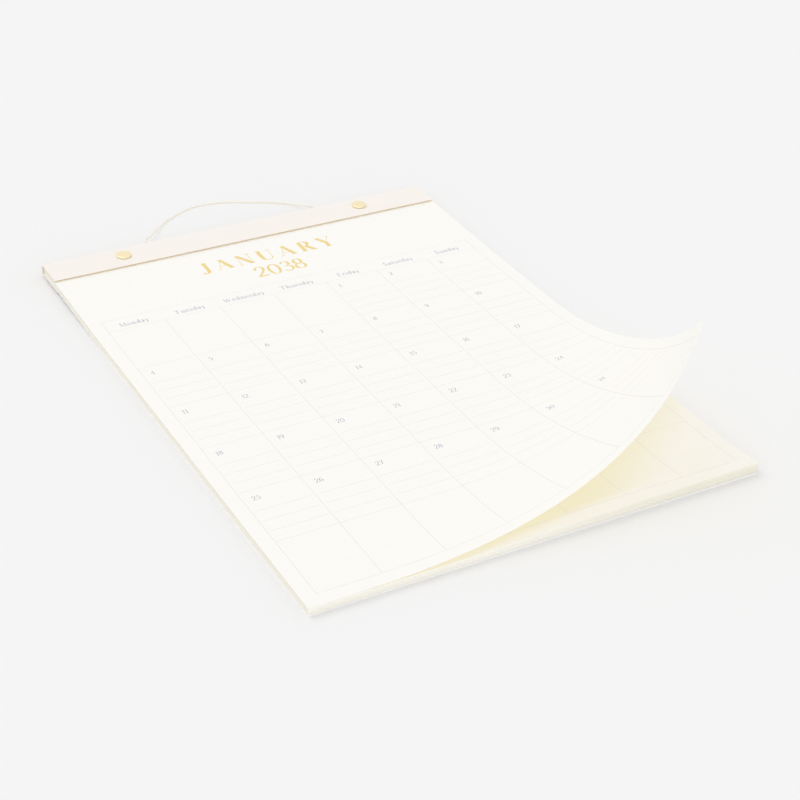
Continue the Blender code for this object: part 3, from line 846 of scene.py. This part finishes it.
# Each letter's width, and its strokes in the order in which they are drawn
WRITTEN = {
    "0": ".74 / ring .37 .5 .27 .5 90 450",
    "1": ".5 / stem .28 0 .28 1 / hair .08 .84 .28 .98 / foot .28 0 .17",
    "2": ".7 / bowl .1 .74 .2 .94 .36 1 .55 .88 .53 .62 .3 .3 .08 .07 / base .08 .06 .62 .06",
    "3": ".66 / bowl .1 .84 .26 1 .48 .9 .48 .64 .24 .54 / bowl .24 .54 .52 .46 .56 .18 .32 0 .08 .14",
    "4": ".72 / hair .06 .28 .46 1 / hair .06 .28 .68 .28 / stem .46 0 .46 1",
    "5": ".66 / base .14 .95 .56 .95 / hair .14 .95 .14 .52"
    " / bowl .14 .52 .34 .62 .56 .48 .56 .18 .32 0 .08 .12",
    "6": ".7 / bowl .58 .9 .4 1 .18 .8 .11 .36 .24 .04 .44 0 / ring .37 .3 .24 .3 -90 180",
    "7": ".66 / base .08 .94 .6 .94 / stem .3 0 .54 .92",
    "8": ".68 / ring .34 .75 .2 .25 90 450 / ring .34 .27 .25 .27 90 450",
    "9": ".7 / bowl .12 .1 .3 0 .52 .2 .59 .64 .46 .96 .26 1 / ring .33 .7 .24 .3 90 360",
    "A": ".98 / hair .14 0 .48 1 / stem .82 0 .46 1 / hair .25 .32 .7 .32 / foot .14 0 .12"
    " / foot .82 0 .17",
    "F": ".76 / stem .24 0 .24 1 / hair .06 1 .68 1 / hair .66 1 .66 .76 / hair .24 .52 .54 .52"
    " / foot .24 0 .17",
    "J": ".62 / stem .4 .22 .4 1 / bowl .4 .24 .36 .02 .2 -.08 .07 .04 / foot .4 1 .17",
    "M": "1.14 / hair .16 0 .16 1 / stem .54 .02 .2 1 / hair .54 .02 .9 1 / stem .94 0 .94 1"
    " / foot .16 0 .12 / foot .94 0 .17",
    "N": "1 / hair .18 0 .18 1 / stem .8 0 .22 1 / hair .84 0 .84 1 / foot .18 0 .14 / foot .84 1 .14",
    "R": ".96 / stem .24 0 .24 1 / bowl .24 .99 .5 .99 .66 .76 .5 .52 .24 .51 / stem .8 0 .46 .52"
    " / foot .24 0 .17 / foot .84 0 .12",
    "S": ".7 / bowl .56 .76 .46 .96 .28 1 .12 .82 .2 .62 .46 .42 .58 .22 .46 .03 .26 0 .09 .24",
    "T": ".86 / stem .43 0 .43 1 / hair .06 1 .8 1 / hair .08 1 .08 .76 / hair .78 1 .78 .76"
    " / foot .43 0 .17",
    "U": ".96 / stem .24 .3 .24 1 / tail .24 .34 .3 .06 .52 0 .74 .1 .8 .36 / hair .8 .32 .8 1"
    " / foot .24 1 .17 / foot .8 1 .13",
    "W": "1.3 / stem .38 0 .12 1 / hair .38 0 .66 1 / stem .88 0 .62 1 / hair .88 0 1.16 1"
    " / foot .12 1 .12 / foot 1.16 1 .1",
    "Y": ".94 / stem .46 .44 .14 1 / hair .46 .44 .8 1 / stem .47 0 .47 .46 / foot .47 0 .17"
    " / foot .14 1 .12 / foot .8 1 .12",
    "a": ".56 / stem .4 .04 .4 .46 / bowl .1 .5 .22 .66 .37 .6 .4 .44"
    " / bowl .4 .38 .2 .32 .09 .16 .2 0 .4 .12 / hair .4 .02 .54 .04",
    "d": ".64 / ring .28 .33 .2 .33 90 450 / stem .46 0 .46 1.02 / hair .32 1 .46 1.02"
    " / hair .46 .02 .6 .02",
    "e": ".58 / hair .1 .37 .5 .37 / bowl .5 .37 .44 .6 .28 .66 .12 .54 .08 .33"
    " / bowl .08 .33 .12 .1 .3 0 .5 .12",
    "h": ".7 / stem .17 0 .17 1.02 / bowl .17 .48 .3 .65 .46 .62 .52 .42 .52 .02 / foot .17 0 .13"
    " / foot .53 0 .13",
    "i": ".34 / stem .17 0 .17 .66 / stem .17 .84 .17 .98 / foot .17 0 .13",
    "n": ".7 / stem .17 0 .17 .66 / bowl .17 .48 .3 .65 .46 .62 .52 .42 .52 .02 / foot .17 0 .13"
    " / foot .53 0 .13",
    "o": ".6 / ring .3 .33 .23 .33 90 450",
    "r": ".5 / stem .17 0 .17 .66 / bowl .17 .44 .26 .62 .38 .64 .43 .54 / foot .17 0 .13",
    "s": ".48 / bowl .38 .52 .28 .66 .14 .6 .12 .46 .28 .34 .4 .2 .32 .03 .18 0 .06 .16",
    "t": ".42 / stem .2 .12 .2 .86 / hair .04 .64 .38 .64 / bowl .2 .16 .24 .02 .38 .06",
    "u": ".7 / stem .16 .18 .16 .64 / bowl .16 .22 .22 .03 .38 0 .52 .16 / stem .52 0 .52 .64"
    " / hair .52 .02 .66 .02",
    "y": ".6 / stem .3 .02 .1 .66 / hair .3 .02 .52 .66 / bowl .3 .02 .22 -.22 .08 -.26",
}
LETTERS = {}
for letter, text in WRITTEN.items():
    width, *strokes = text.split(" / ")
    LETTERS[letter] = (float(width), [stroke(part) for part in strokes])
print("letters drawn:", "".join(LETTERS))

# %% [markdown]
# A stroke becomes a ribbon of ink. A stem or a hairline is widened sideways, so that it
# ends level, as cut type does, and a nearly level stroke up and down. A bowl is smoothed
# first and then widened at right angles to its direction.

# %% Setting type
BOWL_SUBSTEPS = 5
BOWL_CONTRAST = 1.5
BASE_SHARE = 0.55
STROKE_STAGGER = 0.002 * MM


def stroke_ribbon(kind, points, thick, hair):
    """Left and right edge of one stroke, in units of the capital's height."""
    points = np.array(points, float)
    if kind in ("bowl", "tail"):
        padded = np.column_stack([points, np.zeros(len(points))])
        points = smooth_line(padded, BOWL_SUBSTEPS)[:, :2]
        ahead = np.gradient(points, axis=0)
        ahead /= np.linalg.norm(ahead, axis=1)[:, None]
        fade = np.linspace(1, 0, len(points))[:, None] if kind == "tail" else 1.0
        width = hair + (thick - hair) * fade * np.abs(ahead[:, 1:]) ** BOWL_CONTRAST
        sideways = np.stack([-ahead[:, 1], ahead[:, 0]], axis=1) * width / 2
        return points - sideways, points + sideways
    width = {"stem": thick, "hair": hair, "base": hair + (thick - hair) * BASE_SHARE}[kind]
    reach = points[-1] - points[0]
    steepness = abs(reach[1]) / np.linalg.norm(reach)
    nearly_level = abs(reach[0]) > 2 * abs(reach[1])
    offset = np.array([0.0, width / 2] if nearly_level else [-width / 2 / steepness, 0.0])
    if reach[0 if nearly_level else 1] < 0:
        offset = -offset
    return points - offset, points + offset


def text_width(text, height, spacing):
    return height * (sum(LETTERS[letter][0] for letter in text) + spacing * (len(text) - 1))


def typeset(text, x, y, height, weight, spacing=0.0, centred=False):
    """Ribbons of a line of text. Its lower left corner, or lower middle, is at x and y."""
    if centred:
        x -= text_width(text, height, spacing) / 2
    ribbons = []
    for letter in text:
        advance, strokes = LETTERS[letter]
        for number, (kind, points) in enumerate(strokes):
            left, right = stroke_ribbon(kind, points, *weight)
            part = ribbon(left * height + (x, y), right * height + (x, y))
            part[0][:, 2] += number * STROKE_STAGGER
            ribbons.append(part)
        x += (advance + spacing) * height
    return ribbons


# %% [markdown]
# The large gold lettering gives the month and the year. The names of the days stand in
# the middle of their columns, and the numbers in the upper left of their cells.

# %% Lettering of both months
TITLE_HEIGHT = 13.7 * MM
# Width of a stem and of a hairline, in units of the capital's height
TITLE_WEIGHT = (0.205, 0.032)
YEAR_WEIGHT = (0.15, 0.03)
SMALL_WEIGHT = (0.095, 0.03)
TITLE_Y = 0.1520
TITLE_SPACING = 0.21
YEAR_Y = 0.1310
YEAR_SPACING = 0.02
NAME_HEIGHT = 4.4 * MM
NAME_SPACING = 0.10
NAME_Y = 0.1090
NUMBER_HEIGHT = 3.9 * MM
NUMBER_INDENT = 5.6 * MM
NUMBER_DROP = 10.3 * MM
DAY_NAMES = ("Monday", "Tuesday", "Wednesday", "Thursday", "Friday", "Saturday", "Sunday")

title = typeset("JANUARY", 0, TITLE_Y, TITLE_HEIGHT, TITLE_WEIGHT, TITLE_SPACING, centred=True)
year = typeset("2038", 0, YEAR_Y, TITLE_HEIGHT, YEAR_WEIGHT, YEAR_SPACING, centred=True)
print_on(on_front_sheet, "gold_lettering", title + year, gold_ink)
print(f"title {text_width('JANUARY', TITLE_HEIGHT, TITLE_SPACING) * 1000:.0f} mm wide")


def small_lettering(cells):
    """Names of the days and numbers of one month."""
    ribbons = []
    for column, name in enumerate(DAY_NAMES):
        x = -FRAME_SIDE + (column + 0.5) * COLUMN_WIDTH
        ribbons += typeset(name, x, NAME_Y, NAME_HEIGHT, SMALL_WEIGHT, NAME_SPACING, centred=True)
    for day, (week, column) in enumerate(cells):
        x = -FRAME_SIDE + column * COLUMN_WIDTH + NUMBER_INDENT
        y = WEEKS_TOP_Y - week * WEEK_HEIGHT - NUMBER_DROP
        ribbons += typeset(str(day + 1), x, y, NUMBER_HEIGHT, SMALL_WEIGHT)
    return ribbons


print_on(on_front_sheet, "lettering_front", small_lettering(front_cells), letter_ink)
print_on(on_second_sheet, "lettering_second", small_lettering(second_cells), letter_ink)

# %% [markdown]
# The header is uncoated cotton card, a little pinker than the sheets, with soft clouds of
# tone a few centimetres wide and a felt-like tooth. The construction model already has
# its true shape, two folds and all its holes, so it only gets its surface here. Some
# light comes through it too, deep gold, and shows in the narrow gap under its free edge.
# The backing board is grey board lined with off-white paper. Only its edges show, and
# they have short flecks of fibre.

# %% Materials of the header and the board: cotton card and lined board
CARD_CLOUD = 28 * MM
CARD_TOOTH = 0.6 * MM
BOARD_FLECK = 1.2 * MM
CARD_THROUGH_SHARE = 0.45


def mottled_stock(name, tones, cloud, tooth, depth):
    finish = new_material(name, Roughness=0.85, IOR=1.5)
    add_grain(finish, cloud, tones, detail=5.0)
    add_grain(finish, tooth, bump=(0.35, depth), detail=4.0)
    return finish


def dress(node, finish):
    """Gives a solid of the construction model its surface."""
    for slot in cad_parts[node].material_slots:
        slot.material = finish
    print(node, "gets", finish.name)


cotton_card = mottled_stock("cotton_card", ("#F6F0E8", "#FBF5F1"), CARD_CLOUD, CARD_TOOTH, 0.04 * MM)
let_light_through(cotton_card, CARD_THROUGH_SHARE, "#F6E6AE")
board_tones = ("#FBF8F1", "#FFFEFC")
lined_board = mottled_stock("lined_grey_board", board_tones, BOARD_FLECK, BOARD_FLECK, 0.05 * MM)
dress("header_strip", cotton_card)
dress("back_board", lined_board)

# %% [markdown]
# The screw posts are turned brass with a thin pale-gold plating, polished and bright. A
# metal's colour is the colour of its reflection, so it has no diffuse part. Polishing on
# a lathe leaves faint rings round the middle. Real ones are finer than 0.05 mm, and they
# are drawn at 0.4 mm so that they show as a soft circular sheen.

# %% Material of the screw posts: gold-plated brass
LATHE_RING = 0.4 * MM
# Blender's wave pattern has about 20 waves in a unit of its scale
WAVES_IN_A_UNIT = 20

gold_brass = new_material("gold_plated_brass", Metallic=1.0)
tree, shader = inside(gold_brass)
shader.inputs["Base Color"].default_value = linear("#FFF0C6")
place = add_node(tree, "TexCoord").outputs["Object"]
settings = {"wave_type": "RINGS", "rings_direction": "Z"}
scale = 1 / LATHE_RING / WAVES_IN_A_UNIT
inputs = {"Vector": place, "Scale": scale, "Distortion": 0.6, "Detail": 2.0}
rings = add_node(tree, "TexWave", settings, inputs).outputs["Fac"]
inputs = {"Value": rings, "To Min": 0.25, "To Max": 0.28}
gloss = add_node(tree, "MapRange", inputs=inputs).outputs[0]
tree.links.new(gloss, shader.inputs["Roughness"])
inputs = {"Strength": 0.02, "Distance": 0.01 * MM, "Height": rings}
raised = add_node(tree, "Bump", inputs=inputs).outputs["Normal"]
tree.links.new(raised, shader.inputs["Normal"])
for node in ("binding_screw_left", "binding_screw_right"):
    dress(node, gold_brass)

# %% [markdown]
# The front halves of the posts show, so they are turned again with more sides and a
# rounder rim. A turned piece is a profile that goes once round its axis. The profile runs
# from the middle of the head over the rim, down the barrel and up again inside the bore.

# %% Screw posts
POST_SIDES = 96
POST_RIM = 0.35 * MM
RIM_STEPS = 7
BORE_RADIUS = 1.8 * MM
BARREL_RADIUS = 2.5 * MM
HEAD_THICKNESS = 1.2 * MM
END_WALL = 0.8 * MM
HEAD_CROWN = 0.06 * MM
# One point of the slightly domed top, as shares of its radius and of the dome's height
CROWN_POINT, CROWN_DROP = 0.6, 0.4


def turned(profile, sides):
    """Points and faces of a profile of (radius, height) turned round the Z axis."""
    angles = np.linspace(0, 2 * math.pi, sides, endpoint=False)
    points, rings = [], []
    for radius, height in profile:
        if radius == 0:
            rings.append([len(points)] * sides)
            points.append((0, 0, height))
            continue
        rings.append(list(range(len(points), len(points) + sides)))
        points += [(radius * math.cos(a), radius * math.sin(a), height) for a in angles]
    faces = []
    for upper, lower in zip(rings, rings[1:]):
        for i in range(sides):
            j = (i + 1) % sides
            quad = (upper[i], lower[i], lower[j], upper[j])
            faces.append(tuple(dict.fromkeys(quad)))
    return points, faces


for side in ("left", "right"):
    low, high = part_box(f"binding_post_{side}")
    middle = (low + high) / 2
    head_radius = (high.x - low.x) / 2
    rim_x, rim_z = head_radius - POST_RIM, high.z - HEAD_CROWN - POST_RIM
    profile = [(0, high.z), (rim_x * CROWN_POINT, high.z - HEAD_CROWN * CROWN_DROP)]
    for step in range(RIM_STEPS + 1):
        turn = math.pi / 2 * (1 - step / RIM_STEPS)
        profile.append((rim_x + POST_RIM * math.cos(turn), rim_z + POST_RIM * math.sin(turn)))
    head_bottom = high.z - HEAD_THICKNESS
    bore_top = head_bottom - END_WALL
    profile += [(head_radius, head_bottom), (BARREL_RADIUS, head_bottom)]
    profile += [(BARREL_RADIUS, low.z), (BORE_RADIUS, low.z), (BORE_RADIUS, bore_top), (0, bore_top)]
    post = add_piece(f"screw_post_{side}", *turned(profile, POST_SIDES), gold_brass, "polished_brass")
    post.data.shade_smooth()
    post.data.set_sharp_from_angle(angle=RIM_ANGLE)
    post.location = (middle.x, middle.y, 0)
    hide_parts(f"binding_post_{side}")
    print(f"screw post {side}: head {head_radius * 2000:.1f} mm across")

# %% [markdown]
# The calendar lies on a seamless sheet of pale grey backdrop paper in soft daylight. A
# world of even light fills every shadow, one broad lamp behind the upper left gives the
# shadows their direction, and a low one in front lights the cut edges. Together they give
# a level surface exactly as much light as shows its colour as it is written. Metal sees
# the same pale room as the camera does.

# %% Table, light and colour
BACKDROP = "#F5F5F5"
SKY_LEVEL = 0.78
# Name, light on a level surface, height above the horizon, direction and width in degrees
LAMPS = (("window_light", 0.16, 54.0, 116.0, 45.0), ("low_fill_light", 0.06, 20.0, -105.0, 60.0))
FLOOR_SIZE = 30.0
FLOOR_GRAIN = 3 * MM
EVEN_SHARE = 0.06


def seen_directly(tree):
    """1 for what the camera sees, also in metal or through glass, and 0 for light on things."""
    path = add_node(tree, "LightPath")
    seen = path.outputs["Is Camera Ray"]
    for ray in ("Is Glossy Ray", "Is Transmission Ray"):
        inputs = {0: seen, 1: path.outputs[ray]}
        seen = add_node(tree, "Math", {"operation": "MAXIMUM"}, inputs).outputs[0]
    return seen


backdrop_paper = new_material("backdrop_paper", Roughness=1.0, IOR=1.3, Specular_IOR_Level=0.0)
add_grain(backdrop_paper, FLOOR_GRAIN, ("#F4F4F4", "#F6F6F6"), detail=2.0, roughness=0.5)
tree = backdrop_paper.node_tree
glow = add_node(tree, "Emission", inputs={"Color": linear(BACKDROP), "Strength": 1.0})
mix_over(backdrop_paper, seen_directly(tree), EVEN_SHARE, glow)

half = FLOOR_SIZE / 2
floor_corners = [(-half, -half, 0), (half, -half, 0), (half, half, 0), (-half, half, 0)]
floor_mesh = bpy.data.meshes.new("table")
floor_mesh.from_pydata(floor_corners, [], [(0, 1, 2, 3)])
floor_mesh.materials.append(backdrop_paper)
floor = put_in_scene("table", floor_mesh)

world = bpy.data.worlds.new("pale_room")
bpy.context.scene.world = world
world.use_nodes = True
tree = world.node_tree
tree.nodes.clear()
room = add_node(tree, "Background", inputs={"Color": linear(BACKDROP), "Strength": 1.0})
inputs = {"Color": (1.0, 1.0, 1.0, 1.0), "Strength": SKY_LEVEL}
sky = add_node(tree, "Background", inputs=inputs)
inputs = {0: seen_directly(tree), 1: sky.outputs[0], 2: room.outputs[0]}
mixed = add_node(tree, "MixShader", inputs=inputs)
add_node(tree, "OutputWorld", inputs={"Surface": mixed.outputs[0]})

for name, level, elevation, azimuth, spread in LAMPS:
    lamp_data = bpy.data.lights.new(name, "SUN")
    lamp_data.energy = level * math.pi / math.sin(math.radians(elevation))
    lamp_data.angle = math.radians(spread)
    lamp = put_in_scene(name, lamp_data)
    lamp.rotation_euler = (math.radians(90 - elevation), 0, math.radians(azimuth + 90))

bpy.context.scene.view_settings.view_transform = "Standard"
print(f"level light: {SKY_LEVEL + sum(lamp[1] for lamp in LAMPS):.2f}")
